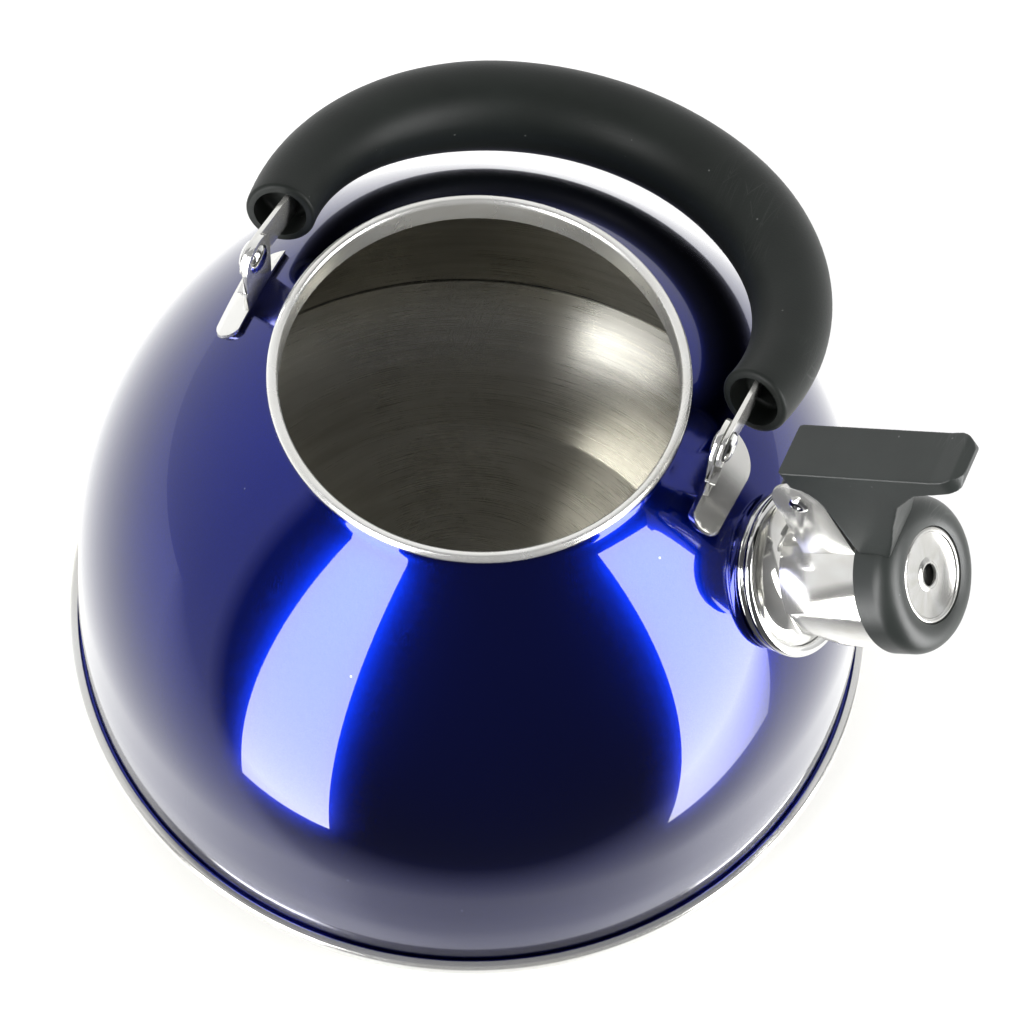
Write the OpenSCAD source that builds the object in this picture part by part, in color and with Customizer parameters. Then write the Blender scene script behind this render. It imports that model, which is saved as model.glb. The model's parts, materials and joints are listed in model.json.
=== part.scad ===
// Stovetop whistling kettle, three litres, with a folding bail handle.
// The origin is on the table under the middle of the base, +Z is up and the spout points along +X.
// The handle is folded back over the dome, towards +Y, as it rests when the kettle is being filled.

/* [Body] */
// Outside diameter of the rolled seam where dome and pan meet
seam_d = 220; // [216:1:224]
// Thickness of the steel sheet of the dome and the pan
sheet_t = 0.7; // [0.6:0.1:1.0]
// Height of the seam above the table
seam_z = 22; // [21:0.5:24]
// Outside radius of the dome's ball-shaped crown
crown_r = 105.3; // [104.5:0.1:106]
// Height of the crown's centre above the seam
crown_h = 27; // [26:0.2:28]
// Outside diameter of the dome where it meets the seam
foot_d = 214; // [213:0.5:214.5]
// Inside diameter of the mouth
mouth_d = 99.6; // [98:0.2:100]

/* [Base] */
// Diameter of the flat floor inside the pan
floor_d = 134; // [128:1:138]
// Depth of the floor under the seam
pan_depth = 18; // [16:0.5:19]
// Thickness of the steel cup under the heat-spreading disc
base_cup_t = 0.8; // [0.6:0.1:1.0]

/* [Spout] */
// Distance of the spout ring's centre from the kettle's axis
spout_x = 89; // [88.5:0.5:92]
// Height of the spout ring's centre above the seam
spout_h = 88.4; // [88:0.2:91]
// Angle of the spout above the horizontal
spout_tilt = 36.7; // [35:0.1:38]
// Outside diameter of the neck that carries the ring
neck_d = 35; // [34:0.5:35]
// Outside diameter of the nozzle tube
nozzle_d = 27; // [25:0.5:28]
// Outside diameter of the sleeve around the nozzle
sleeve_d = 36.4; // [36:0.2:36.8]

/* [Whistle] */
// Outside diameter of the whistle cap
cap_d = 39; // [38.6:0.2:40]
// Diameter of the chromed front disc
disc_d = 24; // [22:0.5:25]
// Diameter of the hole in the front disc
whistle_hole_d = 5.4; // [3:0.2:7]
// Distance of the lever's pin along the spout from the ring
pivot_along = 24; // [23.5:0.5:25]
// Distance of the lever's pin above the spout's axis
pivot_up = 36.5; // [36:0.5:38]
// Width of the thumb paddle
paddle_w = 15; // [14:0.5:18]
// Diameter of the lever's pin
lever_pin_d = 3.2; // [2.6:0.2:3.6]

/* [Handle] */
// Angle between the folded handle and the upright
fold_angle = 107; // [104:0.5:108]
// Radius of the handle's arch, at the middle of the grip
arch_r = 66; // [65:0.5:67]
// Angle of the arch from its top to each end
arch_half = 102; // [98:1:104]
// Height of the arch's top above the hinge
arch_top = 98; // [96:0.5:102]
// Thickness of the grip at the top of the arch
grip_d = 23.8; // [20:0.2:24.4]
// Thickness of the grip at its ends
grip_end_d = 18; // [17:0.2:19]
// Height of the hinge above the seam
hinge_h = 128.2; // [127:0.2:132]
// Distance of the hinge line behind the middle of the mouth
hinge_back = 3; // [0:0.5:4]
// Distance from the kettle's axis to the inner face of each ear
ear_x = 61.9; // [61.5:0.1:62.5]
// Width of each ear
ear_w = 13; // [12:0.5:14]
// Thickness of the ears and the straps
plate_t = 1.2; // [1.0:0.1:1.3]
// Width of each steel strap
strap_w = 11; // [10:0.5:11.5]
// Diameter of the hinge rivets
rivet_d = 5; // [4:0.5:5.5]

/* [Hidden] */
$fn = 96;
fine = 240;             // facets on the large turned shells
skin = 0.05;            // gap between pieces that lie on each other
fit = 0.05;             // radial gap of a running fit
turn_start = 105;       // where the turned shells begin, clear of the spout and the lugs

function ray(a) = [cos(a), sin(a)];
// The dome's wall rises from the foot by way of the waist and runs on into the ball
foot = [foot_d / 2, 0.5];
waist = [foot_d / 2 - 0.4, 17];
crown_c = [0, crown_h];
waist_far = norm(waist - crown_c);
wall_angle = acos(crown_r / waist_far) - asin((crown_h - waist[1]) / waist_far);
wall_end = crown_c + crown_r * ray(wall_angle);
mouth_angle = 59.8;     // where the ball ends, seen from its centre
crown_end = crown_c + crown_r * ray(mouth_angle);
lip_fillet = 3;         // hollow fillet between the crown and the mouth
neck_top = crown_end[1] + lip_fillet * sin(mouth_angle);
bead_r = 1.4;           // radius of the mouth's rolled bead
bead_c = mouth_d / 2 + bead_r;

floor_r = floor_d / 2;
floor_z = seam_z - pan_depth;
pan_edge_r = 104.4;     // inside radius where the bowl of the pan meets its flange
bowl_run = pan_edge_r - floor_r;
bowl_rise = pan_depth - sheet_t;
bowl_arc = (bowl_run * bowl_run + bowl_rise * bowl_rise) / (2 * bowl_rise);
bowl_sweep = asin(bowl_run / bowl_arc);

pin_r = lever_pin_d / 2;
sleeve_front = 32;      // front end of the sleeve along the spout
nozzle_end = 34;
cap_rear = 30;
cap_web = 35.6;         // rear face of the cap's inner web
seat_z = 38.4;          // seat of the front disc
donut_r = 5.2;          // rounding of the cap's front
donut_c = cap_d / 2 - donut_r;
ear_half_gap = 5.7;     // from the lever's middle plane to each bracket ear
bracket_t = 1;
hinge_z = seam_z + hinge_h;
arch_c = arch_top - arch_r;
strap_x = ear_x + plate_t + 0.15;
strap_len = 43;
front_fold = fold_angle - 3;    // the hinge lies behind the axis, so the handle stops sooner at the front

// A slice of a disc between two angles, as wide as the angles say (under 180 degrees)
module slice(r, a0, a1) {
    far = r / cos((a1 - a0) / 2) * 1.05;
    intersection() {
        rotate(a0 + 180) circle(r = r, $fn = fine);
        polygon([[0, 0], far * ray(a0), far * ray((a0 + a1) / 2), far * ray(a1)]);
    }
}

// A strip of sheet bent along an arc: outer radius r, thickness t inwards
module bent_strip(c, r, t, a0, a1) {
    translate(c) difference() {
        slice(r, a0, a1);
        rotate(a0 + 180) circle(r = r - t, $fn = fine);
    }
}

// Two upright posts of height h and the web between them, its sides a hair inside the tangents
module joined_posts(c0, r0, c1, r1, h) {
    along = c1 - c0;
    towards = atan2(along[1], along[0]);
    lean = acos((r0 - r1) / norm(along));
    in0 = r0 - 0.03;
    in1 = r1 - 0.03;
    translate(c0) cylinder(r = r0, h = h);
    translate(c1) cylinder(r = r1, h = h);
    linear_extrude(h) polygon([c0 + in0 * ray(towards + lean), c1 + in1 * ray(towards + lean),
        c1 + in1 * ray(towards - lean), c0 + in0 * ray(towards - lean)]);
}

// The ball that the crown is part of, grown by a gap, for trimming what stands on it
module dome_core(gap) {
    translate([0, 0, seam_z + crown_h]) sphere(r = crown_r + gap, $fn = fine);
}

// Local frame of the spout: X along its axis, Z square to it and upwards
module at_spout() {
    translate([spout_x, 0, seam_z + spout_h]) rotate([0, -spout_tilt, 0]) children();
}

// A turned piece on the spout's axis, drawn as [radius, distance along the spout]
module turned() {
    at_spout() rotate([0, 90, 0]) rotate(45) rotate_extrude($fn = fine / 2) children();
}

// Local frame of the handle: Z points from the hinge to the top of the arch
module at_handle() {
    translate([0, hinge_back, hinge_z]) rotate([-fold_angle, 0, 0]) children();
}

// A plate on the spout, cut to a side view of [along, up], between two distances from the middle plane
module side_plate(y0, y1) {
    at_spout() translate([0, y1, 0]) rotate([90, 0, 0]) linear_extrude(y1 - y0) children();
}

module dome() {
    color("#101c8c") difference() {
        translate([0, 0, seam_z]) rotate(turn_start) rotate_extrude($fn = fine) {
            inward = [-sheet_t, 0];
            polygon([foot, waist, wall_end, wall_end - sheet_t * ray(wall_angle), waist + inward, foot + inward]);
            bent_strip(crown_c, crown_r, sheet_t, wall_angle, mouth_angle);
            // hollow fillet that turns the crown up into the mouth
            translate(crown_end + lip_fillet * ray(mouth_angle)) difference() {
                slice(lip_fillet + sheet_t, 180, 181 + mouth_angle);
                circle(r = lip_fillet);
            }
            // foot flange inside the seam
            translate([foot[0] - sheet_t, 0]) square([2, foot[1] + 0.1]);
        }
        at_spout() rotate([0, 90, 0]) rotate(45) translate([0, 0, -20]) cylinder(r = neck_d / 2 - 0.8, h = 30);
    }
}

module mouth_ring() {
    color("#c8c4ba") translate([0, 0, seam_z]) rotate_extrude($fn = fine) {
        translate([bead_c, neck_top + 0.6]) circle(r = bead_r, $fn = 48);
        // skirt inside the neck
        translate([mouth_d / 2, neck_top - 5.5]) square([0.6, 6]);
    }
}

module bottom_pan() {
    color("#b9b4a8") rotate_extrude($fn = fine) {
        translate([0, floor_z - sheet_t]) square([floor_r + 0.02, sheet_t]);
        translate([floor_r, floor_z + bowl_arc]) difference() {
            slice(bowl_arc + sheet_t, -90, -90 + bowl_sweep);
            circle(r = bowl_arc, $fn = fine);
        }
        // flange under the dome's foot
        translate([pan_edge_r - 0.3, seam_z - sheet_t]) square([4.3, sheet_t - skin]);
    }
}

module seam_hoop() {
    color("#c9c9c9") translate([0, 0, seam_z]) rotate_extrude($fn = fine) difference() {
        union() {
            translate([seam_d / 2 - 1, 0.6]) circle(r = 1, $fn = 32);
            translate([seam_d / 2 - 1, -1]) circle(r = 1, $fn = 32);
            translate([foot[0] + 0.6, -2]) square([seam_d / 2 - 1.6 - foot[0], 3.6]);
            translate([seam_d / 2 - 2, -1]) square([2, 1.6]);
        }
        translate([0, -sheet_t - skin]) square([seam_d / 2 - 1.1, sheet_t + foot[1] + 0.15 + skin]);
    }
}

module heat_disc() {
    color("#8e8e8c") translate([0, 0, base_cup_t]) cylinder(r = floor_r - 1, h = floor_z - sheet_t - base_cup_t, $fn = fine);
}

module base_cup() {
    color("#b0ada6") difference() {
        cylinder(r = floor_r, h = floor_z - sheet_t, $fn = fine);
        translate([0, 0, base_cup_t]) cylinder(r = floor_r - 1 + 0.01, h = 10, $fn = fine);
    }
}

module spout_neck() {
    color("#101c8c") difference() {
        turned() translate([neck_d / 2 - 0.8, -12]) square([0.8, 11.2]);
        dome_core(0);
    }
}

module spout_ring() {
    color("#d6d6d6") difference() {
        turned() {
            translate([20.3, -0.6]) circle(r = 1.4, $fn = 40);
            translate([19.4, -4]) square([1, 3.4]);
            translate([19.9, -3.6]) circle(r = 0.75, $fn = 32);
            translate([neck_d / 2 + skin, -2.9]) square([19.6 - neck_d / 2, 0.9]);
        }
        dome_core(skin);
    }
}

module nozzle() {
    bell = 5.4;
    nr = nozzle_d / 2;
    color("#cfcac2") turned() {
        // trumpet root that lies in the ring
        translate([nr + bell, 4.5]) difference() {
            slice(bell + 0.8, 180, 270);
            circle(r = bell);
        }
        translate([nr - 0.8, 4.5 - 0.02]) square([0.8, nozzle_end - 4.5 + 0.02]);
    }
}

module nozzle_sleeve() {
    sr = sleeve_d / 2;
    color("#d2cec6") difference() {
        turned() {
            translate([sr - 0.8, 7]) square([0.8, sleeve_front - 7]);
            translate([nozzle_d / 2 + skin, sleeve_front - 0.8]) square([sr - nozzle_d / 2 - 0.4, 0.8]);
        }
        // the underside is cut back at a slant
        side_plate(-30, 30) polygon([[5, 8], [7.5, 5.7], [23.5, -sr - 0.5], [23.5, -sr - 2], [5, -sr - 2]]);
    }
}

module lever_bracket() {
    sr = sleeve_d / 2 + skin;
    ear_out = ear_half_gap + bracket_t;
    color("#d8d5cf") {
        // saddle on top of the sleeve
        intersection() {
            turned() translate([sr, 14.2]) square([0.9, 15.3]);
            at_spout() translate([14, -ear_out, 10]) cube([16, 2 * ear_out, 12]);
        }
        for (side = [-1, 1]) difference() {
            side_plate(min(side * ear_half_gap, side * ear_out), max(side * ear_half_gap, side * ear_out)) {
                polygon([[14.2, 17.9], [29.5, 17.9], [pivot_along + 7, pivot_up], [pivot_along - 7, pivot_up]]);
                translate([pivot_along, pivot_up]) circle(r = 7);
            }
            turned() translate([0, 10]) square([sr, 24]);
            at_spout() translate([pivot_along, 0, pivot_up]) rotate([90, 0, 0]) cylinder(r = pin_r, h = 20, center = true);
        }
    }
}

module lever_pin() {
    head_y = ear_half_gap + bracket_t + skin;
    color("#dedede") at_spout() translate([pivot_along, 0, pivot_up]) rotate([90, 0, 0]) {
        cylinder(r = pin_r, h = 2 * head_y, center = true);
        for (side = [0, 1]) mirror([0, 0, side]) translate([0, 0, head_y]) {
            cylinder(r1 = pin_r + 0.9, r2 = pin_r + 0.3, h = 0.8);
        }
    }
}

// The spring is wound from round wire beside the lever's hub
module lever_spring() {
    wire = 0.8;
    pitch = 0.7;            // the turns lie close against each other
    coil = pin_r + 1.4;
    color("#9c9c9c") at_spout() translate([pivot_along, 0, pivot_up]) {
        for (i = [0:2]) translate([0, -2.8 - i * pitch, 0]) rotate([90, 0, 0]) {
            rotate_extrude($fn = 48) translate([coil, 0]) circle(d = wire, $fn = 20);
        }
        // one leg bears on the saddle, the other in the lever
        translate([0, -2.8 - 2 * pitch, -coil]) mirror([0, 0, 1]) cylinder(d = wire, h = 14, $fn = 20);
        translate([coil, -2.8, 0]) rotate([0, 90, 0]) cylinder(d = wire, h = 4, $fn = 20);
    }
}

// Outer form of the cap, as a solid
module cap_form(grow) {
    turned() {
        translate([0, cap_rear]) square([cap_d / 2 + grow, seat_z - cap_rear - 2.9]);
        translate([donut_c, seat_z - 2.9]) circle(r = donut_r + grow, $fn = 64);
        translate([0, seat_z - 3]) square([donut_c, 4]);
    }
}

module whistle_lever() {
    half = paddle_w / 2;
    far_edge = 7.6;
    color("#3a403c") difference() {
        union() {
            // arm and paddle, full width, in front of and above the ears
            side_plate(-half, half) difference() {
                polygon([[24.5, 43], [25.5, 49.8], [67, 46.4], [72.5, 46.6], [74.6, 45], [73.4, 42.4],
                    [60, 41], [53, 36.5], [48, 29.5], [43.5, 22], [40, 17], [31.7, 17], [31.7, 36.5]]);
                translate([pivot_along, pivot_up]) circle(r = far_edge);
                translate([pivot_along, pivot_up - 30]) square([far_edge, 30]);
            }
            // hub and web between the ears
            side_plate(-ear_half_gap + 0.3, ear_half_gap - 0.3) {
                translate([pivot_along, pivot_up]) circle(r = 6);
                polygon([[pivot_along, pivot_up + 6], [pivot_along + 1, pivot_up + 9], [36, 45], [36, 30],
                    [pivot_along + 2, pivot_up - 5.6]]);
            }
        }
        // rounded corners at the paddle's tip and at its root
        for (side = [-1, 1]) at_spout() {
            translate([69.6, side * (half - 5), 30]) difference() {
                translate([0, side > 0 ? 0 : -10, 0]) cube([10, 10, 30]);
                cylinder(r = 5, h = 30);
            }
            translate([28, side * (half - 3), 40]) difference() {
                translate([-10, side > 0 ? 0 : -10, 0]) cube([10, 10, 20]);
                translate([0, 0, -1]) cylinder(r = 3.4, h = 22);
            }
        }
        cap_form(skin);
        at_spout() translate([pivot_along, 0, pivot_up]) rotate([90, 0, 0]) cylinder(r = pin_r + fit, h = 40, center = true);
        // room for the spring and its two legs
        at_spout() translate([pivot_along, -2.2, pivot_up]) {
            rotate([90, 0, 0]) cylinder(r = pin_r + 2.3, h = 5);
            translate([-9, -5, -9]) cube([10, 5, 13]);
            translate([0, -1.2, -4.6]) cube([8.2, 1.2, 5.2]);
        }
    }
}

module whistle_cap() {
    color("#2f3431") difference() {
        cap_form(0);
        turned() translate([0, cap_rear - 1]) square([cap_d / 2 - 0.7, cap_web - cap_rear + 1]);
        turned() square([donut_c - donut_r, 60]);
        turned() translate([0, seat_z]) square([disc_d / 2 + skin, 10]);
    }
}

module cap_seal() {
    color("#6a6a66") turned() translate([6, nozzle_end + 0.1]) square([12, cap_web - nozzle_end - 0.1 - skin]);
}

module whistle_front() {
    color("#e2e2e2") turned() {
        translate([whistle_hole_d / 2, seat_z + skin]) square([disc_d / 2 - whistle_hole_d / 2, 0.7]);
        translate([disc_d / 2 - 0.8, seat_z + 0.9]) circle(r = 0.8, $fn = 32);
    }
}

module whistle_back() {
    color("#cfcfcf") turned() translate([2, cap_web + skin]) square([donut_c - donut_r - 2 - skin, 0.6]);
}

// Side view of an ear and the lug plate that it grows from, for the front; the rear one is its mirror image
module lug() {
    plate_gap = skin;
    half = ear_w / 2;
    color("#cfcdc8") difference() {
        union() {
            // ear, upright in the plane of the strap
            translate([ear_x, hinge_back, hinge_z]) rotate([90, 0, 90]) linear_extrude(plate_t) {
                circle(r = half);
                translate([-half, -26]) square([ear_w, 26]);
            }
            // plate that lies on the crown, a wide lobe and a tongue towards the front
            intersection() {
                difference() {
                    dome_core(plate_gap + plate_t);
                    dome_core(plate_gap);
                }
                translate([0, 0, seam_z + 60]) intersection() {
                    joined_posts([ear_x - 1.4, hinge_back + 5.5], 9, [ear_x + 3.2, -7.6], 3.6, 80);
                    translate([ear_x, -20, 0]) cube([20, 50, 80]);
                }
            }
            // stop tabs under the strap, one for each folded side
            for (stop = [[0, fold_angle], [1, front_fold]]) {
                translate([0, hinge_back, hinge_z]) mirror([0, stop[0], 0]) rotate([-stop[1], 0, 0]) {
                    translate([ear_x, strap_w / 2 + 0.1, 4]) cube([plate_t + 1.5, 1.2, 4.5]);
                }
            }
        }
        dome_core(plate_gap);
        translate([ear_x - 1, hinge_back, hinge_z]) rotate([0, 90, 0]) cylinder(r = rivet_d / 2, h = 4);
    }
}

module lug_front() { lug(); }

module lug_rear() { mirror([1, 0, 0]) lug(); }

// One rivet through each ear and strap
module hinge_rivets() {
    len = strap_x + plate_t + 0.15 - ear_x;
    color("#e0e0e0") for (side = [0, 1]) mirror([side, 0, 0]) {
        translate([ear_x, hinge_back, hinge_z]) rotate([0, 90, 0]) {
            cylinder(r = rivet_d / 2, h = len);
            translate([0, 0, len]) cylinder(r1 = rivet_d / 2 + 1.6, r2 = rivet_d / 2, h = 1.5);
            mirror([0, 0, 1]) cylinder(r1 = rivet_d / 2 + 1.4, r2 = rivet_d / 2, h = 1.3);
        }
    }
}

module strap() {
    color("#d4d2cc") at_handle() translate([strap_x, 0, 0]) rotate([90, 0, 90]) linear_extrude(plate_t) difference() {
        union() {
            circle(r = strap_w / 2);
            translate([-strap_w / 2, 0]) square([strap_w, strap_len]);
        }
        circle(r = rivet_d / 2 + fit);
        translate([0, strap_len - 7]) circle(r = 1.6);
    }
}

module strap_front() { strap(); }

module strap_rear() { mirror([1, 0, 0]) strap(); }

// Half thickness of the grip at an angle from the top of the arch
function ease(u) = u * u * (3 - 2 * u);
function grip_r(a) = grip_d / 2 - (grip_d - grip_end_d) / 2 * ease(max(0, (abs(a) - 30) / (arch_half - 30)));

module grip() {
    rings = 36;
    sides = 24;
    points = [for (i = [0:rings]) let (a = -arch_half + 2 * arch_half * i / rings, r = grip_r(a))
        for (k = [0:sides - 1]) let (b = 360 * k / sides, d = arch_r + r * cos(b))
            [d * sin(a), r * sin(b), arch_c + d * cos(a)]];
    walls = [for (i = [0:rings - 1]) for (k = [0:sides - 1]) let (n = (k + 1) % sides)
        [i * sides + k, i * sides + n, (i + 1) * sides + n, (i + 1) * sides + k]];
    first = [[for (k = [sides - 1:-1:0]) k]];
    last = [[for (k = [0:sides - 1]) rings * sides + k]];
    color("#3b413d") at_handle() difference() {
        polyhedron(points = points, faces = concat(walls, first, last), convexity = 6);
        for (side = [0, 1]) mirror([side, 0, 0]) {
            // slot for the strap
            translate([strap_x - skin, -strap_w / 2 - skin, 5]) {
                cube([plate_t + 2 * skin, strap_w + 2 * skin, strap_len - 5 + skin]);
            }
            // moulded hollow in the end, on both sides of the strap
            translate([arch_r * sin(arch_half), 0, arch_c + arch_r * cos(arch_half)]) {
                rotate([0, arch_half - 90, 0]) translate([0, 0, -2]) cylinder(r = 6.8, h = 10, $fn = 48);
            }
            translate([strap_x + plate_t / 2, 0, strap_len - 7]) rotate([90, 0, 0]) {
                cylinder(r = 1.5, h = 18, center = true, $fn = 32);
            }
        }
    }
}

// Cross pins that hold the straps in the grip
module grip_pins() {
    color("#b8b8b8") at_handle() for (side = [0, 1]) mirror([side, 0, 0]) {
        translate([strap_x + plate_t / 2, 0, strap_len - 7]) rotate([90, 0, 0]) {
            cylinder(r = 1.5, h = 17, center = true, $fn = 32);
        }
    }
}

dome();
mouth_ring();
bottom_pan();
seam_hoop();
heat_disc();
base_cup();
spout_neck();
spout_ring();
nozzle();
nozzle_sleeve();
lever_bracket();
lever_pin();
lever_spring();
whistle_lever();
whistle_cap();
cap_seal();
whistle_front();
whistle_back();
lug_front();
lug_rear();
hinge_rivets();
strap_front();
strap_rear();
grip();
grip_pins();
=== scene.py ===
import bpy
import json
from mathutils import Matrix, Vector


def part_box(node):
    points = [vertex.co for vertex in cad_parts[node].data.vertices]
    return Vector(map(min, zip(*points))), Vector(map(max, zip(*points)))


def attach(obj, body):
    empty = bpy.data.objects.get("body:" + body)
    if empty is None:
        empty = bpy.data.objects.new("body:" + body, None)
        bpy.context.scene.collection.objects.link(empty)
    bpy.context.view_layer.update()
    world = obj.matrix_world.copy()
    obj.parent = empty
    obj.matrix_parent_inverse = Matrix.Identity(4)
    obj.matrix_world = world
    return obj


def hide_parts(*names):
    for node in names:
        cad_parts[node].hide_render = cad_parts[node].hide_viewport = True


bl_info = {
    "name": "Whistling Kettle",
    "version": (1, 0, 0),
    "blender": (4, 5, 0),
    "location": "View3D > Sidebar > Kettle",
    "description": "Builds a stovetop whistling kettle around its packed frame",
    "category": "Object",
}

import json
import math
from math import radians

import bmesh
import bpy
from bpy.props import FloatProperty, FloatVectorProperty, IntProperty, PointerProperty
from bpy.types import Operator, Panel, PropertyGroup
from mathutils import Matrix, Vector

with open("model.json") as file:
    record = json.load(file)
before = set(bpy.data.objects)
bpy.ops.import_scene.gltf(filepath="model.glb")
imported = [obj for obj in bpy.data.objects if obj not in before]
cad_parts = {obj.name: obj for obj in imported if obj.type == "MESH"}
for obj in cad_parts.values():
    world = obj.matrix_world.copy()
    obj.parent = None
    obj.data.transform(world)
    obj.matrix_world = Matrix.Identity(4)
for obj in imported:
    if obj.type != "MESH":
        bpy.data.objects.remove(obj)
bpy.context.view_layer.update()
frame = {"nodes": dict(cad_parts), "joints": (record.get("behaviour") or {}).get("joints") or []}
MM = 0.001
TURN = 2 * math.pi
SHEET = 0.7 * MM            # thickness of the dome's and the pan's sheet
PAINT = 0.3 * MM            # depth of the painted skin of the dome's sheet
SKIN = 0.02 * MM            # gap between two skins that lie on each other
SEAM_GAP = 0.05 * MM        # play between the sheets inside the rolled seam
WELD = 0.001 * MM           # points nearer than this are merged
FOOT_RADIUS = 107 * MM      # outside of the dome's wall where it meets the seam

SEAM_LOW, SEAM_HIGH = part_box("seam_hoop")
RING_LOW, RING_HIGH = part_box("mouth_ring")
CUP_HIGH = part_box("base_cup")[1]
PAN_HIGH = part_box("bottom_pan")[1]
DOME_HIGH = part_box("dome")[1]
JOINTS = {joint["name"]: joint for joint in frame["joints"]}
SEAM_Z = PAN_HIGH.z + SEAM_GAP
FLOOR_Z = CUP_HIGH.z + SHEET


# ---- sizes and colours


def a_length(name, description, millimetres):
    return FloatProperty(name=name, description=description, default=millimetres * MM, unit="LENGTH")


def an_angle(name, description, degrees):
    return FloatProperty(name=name, description=description, default=radians(degrees), subtype="ANGLE")


def a_number(name, description, value, unit="NONE"):
    return FloatProperty(name=name, description=description, default=value, unit=unit)


def a_colour(name, description, *rgb):
    return FloatVectorProperty(name=name, description=description, subtype="COLOR", size=3, default=rgb)


class KettleSizes(PropertyGroup):
    """Sizes of the pieces that are modelled here"""

    ball_radius: a_length("Ball radius", "Outside radius of the dome's crown", 105.3)
    ball_height: a_length("Ball height", "Height of the crown's centre above the table", 49)
    waist_radius: a_length("Waist radius", "Radius of the wall above the foot", 106.6)
    waist_height: a_length("Waist height", "Height of the waist above the seam", 17)
    mouth_angle: an_angle("Mouth angle", "Where the ball ends at the mouth", 59.8)
    lip_fillet: a_length("Lip fillet", "Hollow fillet between the crown and the mouth", 3)
    floor_radius: FloatProperty(name="Floor radius", description="Radius of the flat floor of the pan",
                                default=CUP_HIGH.x, unit="LENGTH")
    spout_tilt: an_angle("Spout tilt", "Angle of the spout above the horizontal", 36.7)
    spout_reach: a_length("Spout reach", "Distance of the spout ring from the axis", 89)
    spout_height: a_length("Spout height", "Height of the spout ring above the table", 110.4)
    sleeve_radius: a_length("Sleeve radius", "Outside radius of the spout's sleeve", 18.2)
    cap_radius: a_length("Cap radius", "Outside radius of the whistle cap", 19.5)
    fold_angle: an_angle("Fold angle", "Angle between the folded and the upright handle", 107)
    arch_radius: a_length("Arch radius", "Radius of the handle's arch at the grip's middle", 66)
    arch_top: a_length("Arch top", "Distance from the hinge to the top of the arch", 98)
    arch_half: an_angle("Arch half angle", "Angle of the arch from its top to each end", 102)
    grip_radius: a_length("Grip radius", "Half the grip's thickness at the top", 11.9)
    grip_end_radius: a_length("Grip end radius", "Half the grip's thickness at its ends", 9)
    strap_width: a_length("Strap width", "Width of the handle's steel straps", 11)
    shell_segments: IntProperty(name="Shell segments", description="Facets round the large turned shells",
                                default=256, min=64, max=512)
    small_segments: IntProperty(name="Small segments", description="Facets round the small turned pieces",
                                default=144, min=48, max=256)


class KettleColours(PropertyGroup):
    """Colours of the finishes"""

    enamel_deep: a_colour("Enamel, deep", "Blue lacquer seen at a slant", 0.0004, 0.004, 0.085)
    enamel_bright: a_colour("Enamel, bright", "Blue lacquer seen straight on", 0.001, 0.014, 0.32)
    steel: a_colour("Steel", "Stainless steel", 0.66, 0.645, 0.59)
    steel_dark: a_colour("Steel, dark", "Stainless steel in a brush mark", 0.50, 0.485, 0.43)
    chrome: a_colour("Chrome", "Chromed and mirror-polished steel", 0.80, 0.80, 0.785)
    grip: a_colour("Grip", "Soft-touch plastic of the handle", 0.006, 0.0078, 0.0066)
    lever: a_colour("Lever", "Satin plastic of the whistle lever and cap", 0.015, 0.018, 0.0165)
    rubber: a_colour("Rubber", "Seal inside the whistle cap", 0.09, 0.09, 0.085)
    floor: a_colour("Floor", "Studio floor", 0.86, 0.86, 0.85)


def sizes():
    return bpy.context.scene.kettle_sizes


def colours():
    return bpy.context.scene.kettle_colours


# ---- modelling helpers


def deselect():
    if bpy.context.mode != "OBJECT":
        bpy.ops.object.mode_set(mode="OBJECT")
    bpy.ops.object.select_all(action="DESELECT")


def make_active(piece):
    deselect()
    piece.select_set(True)
    bpy.context.view_layer.objects.active = piece


def fresh(add, name, **settings):
    """Adds one object with an operator of Blender's own, and names it."""
    deselect()
    add(**settings)
    made = bpy.context.object
    made.name = made.data.name = name
    return made


def ray(angle):
    return Vector((math.cos(angle), math.sin(angle)))


def arc(centre, radius, start, end, steps):
    """Points along an arc, as (radius, height) pairs."""
    middle = Vector(centre)
    return [middle + ray(start + (end - start) * step / steps) * radius for step in range(steps + 1)]


def rounded(corners, steps=6):
    """A closed outline whose (x, z, rounding) corners are turned into arcs."""
    line = []
    for index, corner in enumerate(corners):
        here = Vector(corner[:2])
        if len(corner) < 3 or corner[2] == 0:
            line.append(here)
            continue
        before = (Vector(corners[index - 1][:2]) - here).normalized()
        after = (Vector(corners[(index + 1) % len(corners)][:2]) - here).normalized()
        half = before.angle(after) / 2
        centre = here + (before + after).normalized() * corner[2] / math.sin(half)
        first = here + before * corner[2] / math.tan(half) - centre
        last = here + after * corner[2] / math.tan(half) - centre
        start = math.atan2(first.y, first.x)
        sweep = (math.atan2(last.y, last.x) - start + math.pi) % TURN - math.pi
        line += arc(centre, corner[2], start, start + sweep, steps)
    return line


def in_mm(corners):
    return [tuple(value * MM for value in corner) for corner in corners]


def vectors(corners):
    """Points given in millimetres, as vectors in metres."""
    return [Vector(point) for point in in_mm(corners)]


def walled(line, wall):
    """An open line given a wall on its left, as a closed outline."""
    inner = []
    for index, here in enumerate(line):
        ahead = line[min(index + 1, len(line) - 1)] - line[max(index - 1, 0)]
        inner.append(here + Vector((-ahead.y, ahead.x)).normalized() * wall)
    return list(line) + inner[::-1]


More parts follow.
